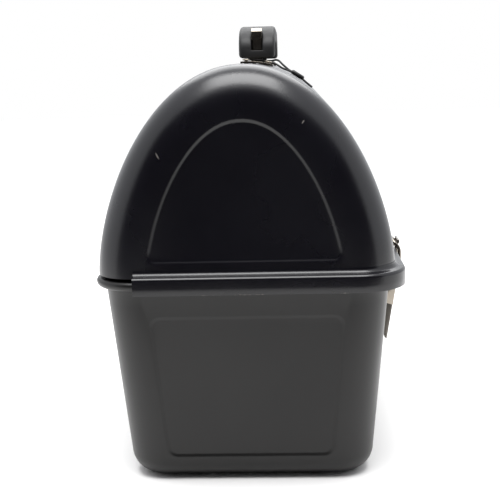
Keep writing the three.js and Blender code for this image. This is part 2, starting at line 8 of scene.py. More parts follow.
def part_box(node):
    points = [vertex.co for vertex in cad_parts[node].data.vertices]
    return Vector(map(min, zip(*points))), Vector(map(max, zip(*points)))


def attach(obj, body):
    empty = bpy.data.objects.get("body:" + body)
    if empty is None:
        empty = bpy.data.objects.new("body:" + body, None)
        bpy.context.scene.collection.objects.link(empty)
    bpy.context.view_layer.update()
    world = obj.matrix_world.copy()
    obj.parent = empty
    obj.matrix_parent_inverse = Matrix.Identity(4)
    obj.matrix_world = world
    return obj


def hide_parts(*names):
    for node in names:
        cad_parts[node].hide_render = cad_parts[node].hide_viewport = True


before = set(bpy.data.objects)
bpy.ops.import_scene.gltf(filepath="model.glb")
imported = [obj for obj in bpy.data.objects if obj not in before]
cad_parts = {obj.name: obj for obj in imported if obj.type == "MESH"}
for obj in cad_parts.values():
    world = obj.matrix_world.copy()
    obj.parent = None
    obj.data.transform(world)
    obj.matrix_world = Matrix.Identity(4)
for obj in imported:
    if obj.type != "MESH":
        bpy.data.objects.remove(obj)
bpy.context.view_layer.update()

MM = 0.001
SIDES = (("left", -1), ("right", 1))


# ---------------------------------------------------------------- outlines of the box, in millimetres
tub_low, tub_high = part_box("tub_shell")
lid_low, lid_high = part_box("lid_shell")
RIM = tub_high.z / MM
BEAD_R = 2.6
BEAD_OUT = 2.3
BEAD_Z = RIM - BEAD_R
SHEET = 1.0
GAP = 0.3
TUB_TOP_X = tub_high.x / MM - BEAD_OUT - BEAD_R
TUB_TOP_Y = tub_high.y / MM - BEAD_OUT - BEAD_R
TUB_DRAFT = 10
TUB_CORNER = 20.5
TUB_FOOT = 12

RIDGE_Z = lid_high.z / MM
SKIRT_OUT = 5.3
LID_Y = lid_high.y / MM - SKIRT_OUT
LID_X = lid_high.x / MM - SKIRT_OUT
LID_BASE_Z = RIM + 1.8
LID_RISE = RIDGE_Z - LID_BASE_Z
LID_ROUND_X = 2 / 2.05
LID_ROUND_Z = 2 / 1.62
LID_FILLET_TOP = 19.5
LID_FILLET_BASE = 21.5


def smooth_step(t):
    return t * t * (3 - 2 * t)


def barrel_point(turn, inset=0.0):
    """(x, z) on the lid's arch. The turn is 0 at the latch side and pi at the hinge side."""
    c = math.cos(turn)
    s = max(math.sin(turn), 0.0)
    x = LID_X * math.copysign(abs(c) ** LID_ROUND_X, c)
    z = LID_BASE_Z + LID_RISE * s**LID_ROUND_Z
    normal = Vector((c * math.sqrt(LID_RISE), s * math.sqrt(LID_X))).normalized()
    return x - inset * normal.x, z - inset * normal.y


def lid_z(x):
    """Height of the lid's skin over a place near its ridge."""
    c = (abs(x) / LID_X) ** (1 / LID_ROUND_X)
    return LID_BASE_Z + LID_RISE * math.sqrt(1 - c * c) ** LID_ROUND_Z


# ---------------------------------------------------------------- tools
def start_clean():
    """The frame arrives selected, so nothing is left selected before a piece is made."""
    if bpy.context.object and bpy.context.object.mode != "OBJECT":
        bpy.ops.object.mode_set(mode="OBJECT")
    bpy.ops.object.select_all(action="DESELECT")


def work_on(piece):
    start_clean()
    piece.select_set(True)
    bpy.context.view_layer.objects.active = piece


def place_ring(piece, ring, row):
    """Sets the selected ring of vertices on its stations, and notes its row."""
    mesh = bmesh.from_edit_mesh(piece.data)
    station = mesh.verts.layers.int["station"]
    rows = mesh.verts.layers.int["row"]
    for vert in mesh.verts:
        if vert.select:
            vert.co = Vector(ring[vert[station]]) * MM
            vert[rows] = row
    bmesh.update_edit_mesh(piece.data)


def select_row(piece, row):
    bpy.ops.mesh.select_all(action="DESELECT")
    mesh = bmesh.from_edit_mesh(piece.data)
    rows = mesh.verts.layers.int["row"]
    for vert in mesh.verts:
        vert.select = vert[rows] == row
    mesh.select_flush(True)
    bmesh.update_edit_mesh(piece.data)


def grow_rings(name, rings, closed=True, first_cap=True, last_cap=True):
    """A circle is set on the first ring, then extruded and set from ring to ring. Rings are in millimetres."""
    start_clean()
    bpy.ops.mesh.primitive_circle_add(vertices=len(rings[0]), radius=0.1, fill_type="NOTHING")
    piece = bpy.context.object
    piece.name = name
    bpy.ops.object.mode_set(mode="EDIT")
    bpy.ops.mesh.select_mode(type="VERT")
    mesh = bmesh.from_edit_mesh(piece.data)
    mesh.verts.layers.int.new("station")
    mesh.verts.layers.int.new("row")
    station = mesh.verts.layers.int["station"]
    mesh.verts.ensure_lookup_table()
    for i, vert in enumerate(mesh.verts):
        vert[station] = i
    if not closed:
        last = len(rings[0]) - 1
        seam = [e for e in mesh.edges if {v[station] for v in e.verts} == {0, last}]
        bmesh.ops.delete(mesh, geom=seam, context="EDGES_FACES")
    bmesh.update_edit_mesh(piece.data)
    bpy.ops.mesh.select_all(action="SELECT")
    place_ring(piece, rings[0], 0)
    for row, ring in enumerate(rings[1:], start=1):
        bpy.ops.mesh.extrude_region_move()
        place_ring(piece, ring, row)
    if last_cap:
        bpy.ops.mesh.edge_face_add()
    if first_cap:
        select_row(piece, 0)
        bpy.ops.mesh.edge_face_add()
    bpy.ops.mesh.select_all(action="SELECT")
    bpy.ops.mesh.normals_make_consistent(inside=False)
    bpy.ops.object.mode_set(mode="OBJECT")
    return piece


def join_pieces(pieces, merge=0.01):
    """Joins pieces into the first, welds what meets and turns the faces outwards."""
    start_clean()
    for piece in pieces:
        piece.select_set(True)
    bpy.context.view_layer.objects.active = pieces[0]
    if len(pieces) > 1:
        bpy.ops.object.join()
    bpy.ops.object.mode_set(mode="EDIT")
    bpy.ops.mesh.select_all(action="SELECT")
    bpy.ops.mesh.remove_doubles(threshold=merge * MM)
    bpy.ops.mesh.normals_make_consistent(inside=False)
    bpy.ops.object.mode_set(mode="OBJECT")
    return pieces[0]


def apply_modifier(piece, name, kind, **settings):
    work_on(piece)
    modifier = piece.modifiers.new(name, kind)
    for key, value in settings.items():
        setattr(modifier, key, value)
    bpy.ops.object.modifier_apply(modifier=name)


def finish_piece(piece, material, body, angle=35, replaced=()):
    """Shades a piece, gives it its finish and its body, and hides the frame nodes it stands for."""
    work_on(piece)
    for layer in ("station", "row"):
        if layer in piece.data.attributes:
            piece.data.attributes.remove(piece.data.attributes[layer])
    bpy.ops.object.transform_apply(location=True, rotation=True, scale=True)
    bpy.ops.object.shade_smooth_by_angle(angle=math.radians(angle))
    piece.data.materials.clear()
    piece.data.materials.append(material)
    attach(piece, body)
    if replaced:
        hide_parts(*replaced)
    return piece


# ---------------------------------------------------------------- finishes
def linear(hex_colour):
    """An sRGB hex colour as linear RGBA."""
    channels = [int(hex_colour[i : i + 2], 16) / 255 for i in (1, 3, 5)]
    return [c / 12.92 if c <= 0.04045 else ((c + 0.055) / 1.055) ** 2.4 for c in channels] + [1.0]


def add_node(tree, kind, settings=None, values=None, links=None):
    """Adds a node, sets its properties and its sockets, and links (node, output) pairs into its sockets."""
    node = tree.nodes.new(kind)
    for key, value in (settings or {}).items():
        setattr(node, key, value)
    for key, value in (values or {}).items():
        node.inputs[key].default_value = value
    for key, (source, output) in (links or {}).items():
        tree.links.new(source.outputs[output], node.inputs[key])
    return node


def new_material(name):
    material = bpy.data.materials.new(name)
    material.use_nodes = True
    tree = material.node_tree
    tree.nodes.clear()
    output = add_node(tree, "ShaderNodeOutputMaterial")
    place = add_node(tree, "ShaderNodeTexCoord")
    return material, tree, output, place


def grain(tree, place, size, detail=2.0, roughness=0.5):
    """Noise on object coordinates whose grain is about size millimetres."""
    return add_node(
        tree,
        "ShaderNodeTexNoise",
        values={"Scale": 1 / (size * MM), "Detail": detail, "Roughness": roughness},
        links={"Vector": (place, "Object")},
    )


def ramp(tree, source, output, stops):
    """A colour ramp over (position, hex colour) stops."""
    node = add_node(tree, "ShaderNodeValToRGB", links={"Fac": (source, output)})
    elements = node.color_ramp.elements
    while len(elements) < len(stops):
        elements.new(0.5)
    for element, (position, colour) in zip(elements, stops):
        element.position = position
        element.color = linear(colour)
    return node


def spread(tree, source, output, low, high, to_low, to_high, smooth=False):
    """Maps a range of values onto another."""
    return add_node(
        tree,
        "ShaderNodeMapRange",
        {"interpolation_type": "SMOOTHSTEP"} if smooth else {},
        {"From Min": low, "From Max": high, "To Min": to_low, "To Max": to_high},
        {"Value": (source, output)},
    )


def powder_coat(name, dark, light, worn, rough_low, rough_high, ior, wear_band=None, scratches=()):
    """Black polyester powder coat, sprayed dry and baked on steel: a satin, almost colourless black with a
    faint orange peel of 1.5 mm, a fine 0.3 mm tooth, cloudy handling marks and paint chipped along bare edges."""
    material, tree, output, place = new_material(name)
    clouds = grain(tree, place, 55, 4.0, 0.55)
    tooth = grain(tree, place, 0.45, 3.0, 0.6)
    peel = grain(tree, place, 1.6, 1.0, 0.4)
    colour = ramp(tree, clouds, "Fac", ((0.3, dark), (0.7, light)))
    speck = spread(tree, tooth, "Fac", 0.35, 0.75, 0.0, 0.35)
    paint = add_node(
        tree,
        "ShaderNodeMix",
        {"data_type": "RGBA"},
        {"B": linear(worn)},
        {"Factor": (spread(tree, speck, 0, 0.0, 1.0, 0.0, 0.12), 0), "A": (colour, 0)},
    )
    paint_socket = 2
    shade = spread(tree, clouds, "Fac", 0.3, 0.7, rough_low, rough_high)
    height = add_node(
        tree,
        "ShaderNodeMath",
        {"operation": "MULTIPLY_ADD"},
        {1: 0.35},
        {0: (tooth, "Fac"), 2: (peel, "Fac")},
    )
    bump = add_node(
        tree,
        "ShaderNodeBump",
        values={"Strength": 0.35, "Distance": 0.00005},
        links={"Height": (height, 0)},
    )
    shader = add_node(
        tree,
        "ShaderNodeBsdfPrincipled",
        values={"IOR": ior, "Metallic": 0.0},
        links={"Base Color": (paint, paint_socket), "Roughness": (shade, 0), "Normal": (bump, 0)},
    )
    surface = shader
    where = add_node(tree, "ShaderNodeSeparateXYZ", links={"Vector": (place, "Object")})
    masks = []
    if wear_band:
        low, high = wear_band
        chips = grain(tree, place, 2.2, 3.0, 0.7)
        patches = grain(tree, place, 30, 2.0, 0.5)
        edge = spread(tree, where, "Z", low * MM, high * MM, 1.0, 0.0)
        both = add_node(
            tree, "ShaderNodeMath", {"operation": "MULTIPLY"}, {}, {0: (chips, "Fac"), 1: (patches, "Fac")}
        )
        near = add_node(tree, "ShaderNodeMath", {"operation": "MULTIPLY"}, {}, {0: (both, 0), 1: (edge, 0)})
        masks.append(spread(tree, near, 0, 0.26, 0.3, 0.0, 0.8))
    for (x, y, z), lean, length, width in scratches:
        turned = add_node(
            tree,
            "ShaderNodeMapping",
            {"vector_type": "TEXTURE"},
            {
                "Location": (x * MM, y * MM, z * MM),
                "Rotation": (0.0, math.radians(lean), 0.0),
                "Scale": (width * MM, 6 * MM, length * MM),
            },
            {"Vector": (place, "Object")},
        )
        distance = add_node(
            tree, "ShaderNodeVectorMath", {"operation": "LENGTH"}, {}, {0: (turned, 0)}
        )
        masks.append(spread(tree, distance, "Value", 0.5, 1.0, 0.8, 0.0, smooth=True))
    if masks:
        worn_through = masks[0]
        for mask in masks[1:]:
            worn_through = add_node(
                tree, "ShaderNodeMath", {"operation": "MAXIMUM"}, {}, {0: (worn_through, 0), 1: (mask, 0)}
            )
        primer = add_node(
            tree,
            "ShaderNodeBsdfPrincipled",
            values={"Base Color": linear("#66625e"), "Roughness": 0.6, "Metallic": 0.0, "IOR": 1.5},
        )
        surface = add_node(
            tree,
            "ShaderNodeMixShader",
            links={0: (worn_through, 0), 1: (shader, 0), 2: (primer, 0)},
        )
    tree.links.new(surface.outputs[0], output.inputs["Surface"])
    return material


def plated_steel(name, bright, dull, rough_low, rough_high, stain):
    """Pressed steel, electroplated: a warm silvery metal with drawn lines 0.25 mm apart, faint clouding from
    handling, and a roughness that breaks up its reflections."""
    material, tree, output, place = new_material(name)
    clouds = grain(tree, place, 20, 4.0, 0.55)
    drawn = add_node(
        tree,
        "ShaderNodeMapping",
        {"vector_type": "POINT"},
        {"Scale": (1 / (0.25 * MM), 1 / (14 * MM), 1 / (0.25 * MM))},
        {"Vector": (place, "Object")},
    )
    lines = add_node(
        tree, "ShaderNodeTexNoise", values={"Scale": 1.0, "Detail": 2.0}, links={"Vector": (drawn, 0)}
    )
    colour = ramp(tree, clouds, "Fac", ((0.28, stain), (0.5, dull), (0.72, bright)))
    shade = spread(tree, clouds, "Fac", 0.3, 0.7, rough_high, rough_low)
    bump = add_node(
        tree,
        "ShaderNodeBump",
        values={"Strength": 0.14, "Distance": 0.00003},
        links={"Height": (lines, "Fac")},
    )
    shader = add_node(
        tree,
        "ShaderNodeBsdfPrincipled",
        values={"Metallic": 1.0},
        links={"Base Color": (colour, 0), "Roughness": (shade, 0), "Normal": (bump, 0)},
    )
    tree.links.new(shader.outputs[0], output.inputs["Surface"])
    return material


def moulded_polypropylene(name, dark, light, rough_low, rough_high):
    """Polypropylene moulded in a spark-eroded steel mould: charcoal, matt, with a pebbled 0.5 mm texture
    that greys in the light."""
    material, tree, output, place = new_material(name)
    pebble = add_node(
        tree,
        "ShaderNodeTexVoronoi",
        {"feature": "SMOOTH_F1"},
        {"Scale": 1 / (0.7 * MM), "Smoothness": 0.6},
        {"Vector": (place, "Object")},
    )
    clouds = grain(tree, place, 16, 3.0, 0.5)
    colour = ramp(tree, clouds, "Fac", ((0.3, dark), (0.7, light)))
    shade = spread(tree, clouds, "Fac", 0.3, 0.7, rough_low, rough_high)
    bump = add_node(
        tree,
        "ShaderNodeBump",
        values={"Strength": 0.3, "Distance": 0.00006},
        links={"Height": (pebble, "Distance")},
    )
    shader = add_node(
        tree,
        "ShaderNodeBsdfPrincipled",
        values={"IOR": 1.42},
        links={"Base Color": (colour, 0), "Roughness": (shade, 0), "Normal": (bump, 0)},
    )
    tree.links.new(shader.outputs[0], output.inputs["Surface"])
    return material


def twisted_cord(name, dark, light):
    """Waxed polyester cord of two plies: near black with a slanting twist about 1.5 mm long and a faint sheen. Its
    colour is painted lighter on the crowns of the twist and darker in its grooves, as painted highlight and painted
    shade.
    """
    material, tree, output, place = new_material(name)
    twist = add_node(
        tree,
        "ShaderNodeTexWave",
        {"wave_type": "BANDS", "bands_direction": "DIAGONAL"},
        {"Scale": 1 / (4.5 * MM), "Distortion": 1.5, "Detail": 2.0},
        {"Vector": (place, "Object")},
    )
    # Painted shade in the grooves of the twist and painted highlight on its crowns, following the bump.
    colour = ramp(tree, twist, "Fac", ((0.2, dark), (0.9, light)))
    bump = add_node(
        tree,
        "ShaderNodeBump",
        values={"Strength": 0.6, "Distance": 0.00015},
        links={"Height": (twist, "Fac")},
    )
    shader = add_node(
        tree,
        "ShaderNodeBsdfPrincipled",
        values={"IOR": 1.5, "Roughness": 0.62},
        links={"Base Color": (colour, 0), "Normal": (bump, 0)},
    )
    tree.links.new(shader.outputs[0], output.inputs["Surface"])
    return material


LID_SCRATCHES = (
    ((-43.1, -160, 181.3), -28, 2.3, 0.5),
    ((31.5, -160, 196.8), 35, 1.3, 0.5),
)
# The lid and the tub are one black powder coat, given as a shaded and a lit copy: the lid's colours are set darker
# as painted shade, the tub's lighter as painted light.
lid_paint_shaded_copy = powder_coat(
    "black_powder_coat_lid_painted_shade", "#06050b", "#09080f", "#24242e", 0.24, 0.3, 1.5, (109.1, 111.4), LID_SCRATCHES
)
tub_paint_lit_copy = powder_coat("black_powder_coat_tub_painted_light", "#0c0b0b", "#100f0f", "#2e2c2a", 0.34, 0.42, 1.43)
nickel = plated_steel("nickel_plated_steel", "#968f85", "#8d867c", 0.16, 0.24, "#7f776e")
zinc = plated_steel("zinc_plated_lever_steel", "#77726c", "#6f6b65", 0.34, 0.44, "#625e59")
grip_plastic = moulded_polypropylene("moulded_polypropylene_grip", "#0e0e0f", "#151516", 0.5, 0.58)
cord_black = twisted_cord("waxed_polyester_cord", "#070708", "#1a1a1c")
bead_black = moulded_polypropylene("moulded_nylon_bead", "#0c0c0d", "#151516", 0.35, 0.5)


# ---------------------------------------------------------------- camera, level with the ridge at one end
def make_camera():
    data = bpy.data.cameras.new("camera")
    data.lens = 72
    data.sensor_width = 36
    data.clip_start = 0.01
    data.clip_end = 50
    camera = bpy.data.objects.new("camera", data)
    bpy.context.scene.collection.objects.link(camera)
    turn = Matrix.Rotation(math.radians(2.59), 4, "Z")
    tilt = Matrix.Rotation(math.radians(90 - 10.47), 4, "X")
    roll = Matrix.Rotation(math.radians(-1.53), 4, "Z")
    spot = Vector((26.0, -667.3, 225.6)) * MM
    camera.matrix_world = Matrix.Translation(spot) @ turn @ tilt @ roll
    bpy.context.scene.camera = camera


make_camera()


# ---------------------------------------------------------------- the swing tag's cord, tied round the left bracket
CORD_R = 0.6


def on_lid(x, y, up=0.0):
    return Vector((x, y, lid_z(x) + GAP + CORD_R + up)) * MM


CORD_ROUTE = [
    on_lid(27.6, -59.2, 0.8),
    on_lid(24.4, -58.9, 1.1),
    on_lid(21.2, -58.0, 2.4),
    on_lid(17.9, -56.0, 3.9),
    on_lid(14.2, -53.6, 2.4),
    on_lid(10.0, -51.9, 1.7),
    on_lid(4.7, -51.4, 1.5),
    on_lid(0.3, -52.4, 1.5),
    on_lid(0.1, -55.2, 1.5),
    on_lid(3.7, -56.8, 1.5),
    on_lid(9.4, -57.2, 1.5),
    on_lid(13.4, -58.8, 1.8),
    on_lid(17.4, -60.5, 1.2),
    on_lid(20.9, -60.8, 0.3),
    on_lid(24.4, -60.2, 0.5),
    on_lid(28.0, -60.3, 0.7),
    on_lid(31.6, -60.6, 0.5),
    on_lid(35.4, -61.2),
    on_lid(38.3, -61.8),
]


def curve_length(curve):
    """Length of a curve object's one spline, along its evaluated centre line."""
    plain = curve.copy()
    plain.data = curve.data.copy()
    plain.data.bevel_depth = 0
    mesh = plain.to_mesh()
    points = [v.co.copy() for v in mesh.vertices]
    plain.to_mesh_clear()
    bpy.data.objects.remove(plain)
    return sum((b - a).length for a, b in zip(points, points[1:]))


def make_cord():
    start_clean()
    bpy.ops.curve.primitive_bezier_curve_add(radius=0.01)
    cord = bpy.context.object
    cord.name = "swing_tag_cord"
    cord.matrix_world = Matrix.Identity(4)
    cord.data.dimensions = "3D"
    cord.data.bevel_depth = CORD_R * MM
    cord.data.bevel_resolution = 4
    cord.data.use_fill_caps = True
    cord.data.resolution_u = 8
    spline = cord.data.splines[0]
    spline.bezier_points.add(len(CORD_ROUTE) - len(spline.bezier_points))
    for point, place in zip(spline.bezier_points, CORD_ROUTE):
        point.co = place
        point.radius = 1.0
        point.handle_left_type = "AUTO"
        point.handle_right_type = "AUTO"
    cord.data.materials.append(cord_black)

    centre = Vector((29.8, -60.0, lid_z(29.8) + GAP + 1.5)) * MM
    slope = Vector((8.0, -0.8, lid_z(33.8) - lid_z(25.8))).normalized()
    start_clean()
    bpy.ops.mesh.primitive_uv_sphere_add(segments=24, ring_count=14, radius=1.35 * MM)
    bead = bpy.context.object
    bead.name = "swing_tag_bead"
    bpy.ops.object.mode_set(mode="EDIT")
    mesh = bmesh.from_edit_mesh(bead.data)
    for vert in mesh.verts:
        vert.select = vert.co.z > 0.00001
    mesh.select_flush(True)
    bmesh.update_edit_mesh(bead.data)
    bpy.ops.transform.translate(value=(0, 0, 6.1 * MM))
    bpy.ops.mesh.select_all(action="SELECT")
    bpy.ops.transform.translate(value=(0, 0, -3.05 * MM))
    bpy.ops.object.mode_set(mode="OBJECT")
    bead.data.transform(Matrix.Translation(centre) @ slope.to_track_quat("Z", "Y").to_matrix().to_4x4())
    bead.matrix_world = Matrix.Identity(4)
    finish_piece(bead, bead_black, "lid")

    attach(cord, "lid")
    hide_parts("tag_cord")
    curve_length(cord)


make_cord()


# ---------------------------------------------------------------- tub
PANEL_DEPTH = 0.8
END_STEPS = 10
SIDE_STEPS = 4
CORNER_STEPS = 10
WALL_ROWS = [TUB_FOOT + (BEAD_Z - 2.2 - TUB_FOOT) * i / END_STEPS for i in range(END_STEPS + 1)]


def tub_x(z):
    return TUB_TOP_X - TUB_DRAFT * (1 - z / RIM)


def tub_y(z):
    return TUB_TOP_Y - TUB_DRAFT * (1 - z / RIM)


def tub_ring(out, z):
    """A level ring round the tub, moved out from its wall, with even stations along its flats and corners."""
    near_x = tub_x(z) - TUB_CORNER
    near_y = tub_y(z) - TUB_CORNER
    radius = TUB_CORNER + out
    ring = []
    corners = ((1, 1, END_STEPS), (-1, 1, SIDE_STEPS), (-1, -1, END_STEPS), (1, -1, SIDE_STEPS))
    for quarter, (side_x, side_y, flat_steps) in enumerate(corners):
        for i in range(CORNER_STEPS + 1):
            turn = (quarter + i / CORNER_STEPS) * math.pi / 2
            x = side_x * near_x + radius * math.cos(turn)
            y = side_y * near_y + radius * math.sin(turn)
            ring.append((x, y, z))
        following = corners[(quarter + 1) % 4]
        turn = (quarter + 1) * math.pi / 2
        ahead = (
            following[0] * near_x + radius * math.cos(turn),
            following[1] * near_y + radius * math.sin(turn),
        )
        last = ring[-1]
        for i in range(1, flat_steps):
            share = i / flat_steps
            ring.append((last[0] + (ahead[0] - last[0]) * share, last[1] + (ahead[1] - last[1]) * share, z))
    return ring


def panel_outline(inset, top, foot, corner):
    """The pressed panel of an end wall as 40 (x, z) stations, from the middle of its upper +x corner."""

    def side(z):
        return tub_x(z) - TUB_CORNER - inset

    upper = top - inset
    lower = foot + inset
    centres = (
        (side(upper - corner) - corner, upper - corner, 0.0),
        (-side(upper - corner) + corner, upper - corner, 90.0),
        (-side(lower + corner) + corner, lower + corner, 180.0),
        (side(lower + corner) - corner, lower + corner, 270.0),
    )
    arcs = []
    for x, z, first in centres:
        arc = []
        for i in range(7):
            turn = math.radians(first + 15 * i)
            arc.append((x + corner * math.cos(turn), z + corner * math.sin(turn)))
        arcs.append(arc)
    points = []
    for k in range(4):
        points.extend(arcs[k])
        begin, end = arcs[k][-1], arcs[(k + 1) % 4][0]
        for i in range(1, 4):
            share = i / 4
            points.append((begin[0] + (end[0] - begin[0]) * share, begin[1] + (end[1] - begin[1]) * share))
    return points[3:] + points[:3]


def press_panel(piece, side, skin, steps):
    """Opens the flat of an end wall, then steps its edge in to the pressed panel and closes it."""
    work_on(piece)
    bpy.ops.object.mode_set(mode="EDIT")
    bpy.ops.mesh.select_mode(type="FACE")
    bpy.ops.mesh.select_all(action="DESELECT")
    mesh = bmesh.from_edit_mesh(piece.data)
    for face in mesh.faces:
        middle = face.calc_center_median() / MM
        wall = side * (tub_y(middle.z) + skin)
        flat = abs(middle.x) < tub_x(middle.z) - TUB_CORNER
        high = WALL_ROWS[0] < middle.z < WALL_ROWS[-1]
        face.select = abs(middle.y - wall) < 0.2 and flat and high
    bmesh.update_edit_mesh(piece.data)
    bpy.ops.mesh.delete(type="FACE")
    bpy.ops.mesh.select_mode(type="EDGE")
    bpy.ops.mesh.select_all(action="DESELECT")
    mesh = bmesh.from_edit_mesh(piece.data)
    rim_edges = [e for e in mesh.edges if len(e.link_faces) == 1 and e.verts[0].co.y * side > 0.1]
    for edge in rim_edges:
        edge.select = True
    station = mesh.verts.layers.int["station"]
    start = max({v for e in rim_edges for v in e.verts}, key=lambda v: v.co.x + v.co.z)
    here, before = start, None
    order = []
    while here not in order:
        order.append(here)
        ahead = [e.other_vert(here) for e in here.link_edges if e in rim_edges]
        ahead = [v for v in ahead if v is not before]
        if before is None:
            ahead.sort(key=lambda v: v.co.x)
        before, here = here, ahead[0]
    for i, vert in enumerate(order):
        vert[station] = i
    bmesh.update_edit_mesh(piece.data)
    for step in range(steps + 1):
        share = step / steps
        depth = PANEL_DEPTH * smooth_step(share)
        ring = []
        for x, z in panel_outline(1.7 + 2.6 * share, PANEL_TOP, TUB_FOOT, 6.2 - 1.6 * share):
            y = tub_y(z) + skin - depth
            ring.append((x, side * y, z))
        bpy.ops.mesh.extrude_region_move()
        place_ring(piece, ring, 900 + step)
    bpy.ops.mesh.edge_face_add()
    bpy.ops.object.mode_set(mode="OBJECT")


PANEL_TOP = 97.5


def make_tub():
    profile = []
    for i in range(9):
        turn = i / 8 * math.pi / 2
        profile.append((-TUB_FOOT * (1 - math.sin(turn)), TUB_FOOT * (1 - math.cos(turn))))
    profile += [(0, z) for z in WALL_ROWS[1:]]
    for i in range(17):
        turn = math.radians(-142 + i * 292 / 16)
        profile.append((BEAD_OUT + BEAD_R * math.cos(turn), BEAD_Z + BEAD_R * math.sin(turn)))
    profile += [(-SHEET, z) for z in WALL_ROWS[:0:-1]]
    for i in range(8, -1, -1):
        turn = i / 8 * math.pi / 2
        profile.append((-SHEET - TUB_FOOT * (1 - math.sin(turn)), SHEET + TUB_FOOT * (1 - math.cos(turn))))
    tub = grow_rings("tub_body", [tub_ring(out, z) for out, z in profile])
    for side in (-1, 1):
        press_panel(tub, side, 0, 6)
        press_panel(tub, side, -SHEET, 6)
    join_pieces([tub])
    finish_piece(tub, tub_paint_lit_copy, "tub", 40, ["tub_shell"])


make_tub()


# ---------------------------------------------------------------- lid
ARCH_STEPS = 72
BASE_STEPS = 20
ARCH_INSET = 28.3
ARCH_FOOT = 125.7
ARCH_DEPTH = 0.8
SKIRT_START = -58.4
HOLLOW_R = 2.8  # rounding between the lid's wall and the flange
HOLLOW_RISE = 4.3
ROLL_R = 2.0
ROLL_RISE = -0.6
SKIRT_FOOT = -8.2


def arch_row(end, step, steps):
    """One arch of the lid's skin, in the rounding between barrel and end face."""
    turn = step / steps * math.pi / 2
    row = []
    for i in range(ARCH_STEPS + 1):
        around = i / ARCH_STEPS * math.pi
        fillet = LID_FILLET_BASE + (LID_FILLET_TOP - LID_FILLET_BASE) * math.sin(around)
        x, z = barrel_point(around, fillet * (1 - math.cos(turn)))
        y = end * (LID_Y - fillet * (1 - math.sin(turn)))
        low = i in (0, ARCH_STEPS)
        row.append((x, y, LID_BASE_Z if low else z))
    return row


def arch_panel(end, inset, foot, corner, depth):
    """The pressed arch of an end face as a ring with the stations of the end face's edge."""
    y = end * (LID_Y - depth)
    low = foot + corner
    turn = 0.0
    while barrel_point(turn, inset)[1] < low:
        turn += 0.002
    ring = []
    for i in range(ARCH_STEPS + 1):
        around = turn + (math.pi - 2 * turn) * i / ARCH_STEPS
        x, z = barrel_point(around, inset)
        ring.append((x, y, z))
    half = ring[0][0]
    base = []
    for i in range(1, 7):
        bend = math.radians(15 * i)
        base.append((-half + corner * (1 - math.cos(bend)), y, low - corner * math.sin(bend)))
    flat_steps = BASE_STEPS - 12
    for i in range(1, flat_steps):
        share = i / flat_steps
        base.append(((-half + corner) * (1 - share) + (half - corner) * share, y, foot))
    base += [(-x, y, z) for x, y, z in base[5::-1]]
    return ring + base


def end_face(end):
    edge = arch_row(end, 8, 8)
    begin, finish = edge[-1], edge[0]
    base = []
    for i in range(1, BASE_STEPS):
        share = i / BASE_STEPS
        base.append((begin[0] + (finish[0] - begin[0]) * share, begin[1], LID_BASE_Z))
    rings = [edge + base]
    for step in range(7):
        share = step / 6
        inset = ARCH_INSET - 1.4 + 2.8 * share
        foot = ARCH_FOOT - 1.1 + 2.2 * share
        rings.append(arch_panel(end, inset, foot, 4.6 - 2.0 * share, ARCH_DEPTH * smooth_step(share)))
    return grow_rings("end_face", rings, first_cap=False)


def flange_profile():
    """(out, rise) round the flange: a hollow rounding off the wall, a sloping ledge, a roll and the skirt."""
    points = [(-0.5, 5.0)]
    for i in range(9):
        turn = math.radians(180 + 9.5 * i)
        points.append((HOLLOW_R + HOLLOW_R * math.cos(turn), HOLLOW_RISE + HOLLOW_R * math.sin(turn)))
    for i in range(9):
        turn = math.radians(75 - 9.375 * i)
        points.append((SKIRT_OUT - ROLL_R + ROLL_R * math.cos(turn), ROLL_RISE + ROLL_R * math.sin(turn)))
    inner = SKIRT_OUT - SHEET
    points += [(SKIRT_OUT, -4.3), (SKIRT_OUT, SKIRT_FOOT + 0.35), (SKIRT_OUT - 0.15, SKIRT_FOOT + 0.08)]
    points += [(SKIRT_OUT - 0.5, SKIRT_FOOT), (inner + 0.15, SKIRT_FOOT + 0.08), (inner, SKIRT_FOOT + 0.35)]
    points.append((inner, ROLL_RISE))
    for i in range(1, 4):
        turn = math.radians(25 * i)
        points.append((SKIRT_OUT - ROLL_R + math.cos(turn), ROLL_RISE + math.sin(turn)))
    points += [(1.2, -0.1), (-0.5, 0.0)]
    return points


def make_flange():
    near = LID_X - LID_FILLET_BASE
    far = LID_Y - LID_FILLET_BASE
    stops = [(SKIRT_START, -LID_Y, 0, -1)]
    stops += [(SKIRT_START + (near - SKIRT_START) * i / 6, -LID_Y, 0, -1) for i in range(1, 6)]
    for first, side in ((-90, -1), (0, 1)):
        for i in range(13):
            turn = math.radians(first + 7.5 * i)
            c, s = math.cos(turn), math.sin(turn)
            stops.append((near + LID_FILLET_BASE * c, side * far + LID_FILLET_BASE * s, c, s))
    stops += [(near + (SKIRT_START - near) * i / 6, LID_Y, 0, 1) for i in range(1, 7)]
    profile = flange_profile()
    rings = []
    for x, y, out_x, out_y in stops:
        rings.append([(x + out_x * out, y + out_y * out, LID_BASE_Z + rise) for out, rise in profile])
    return grow_rings("flange", rings)


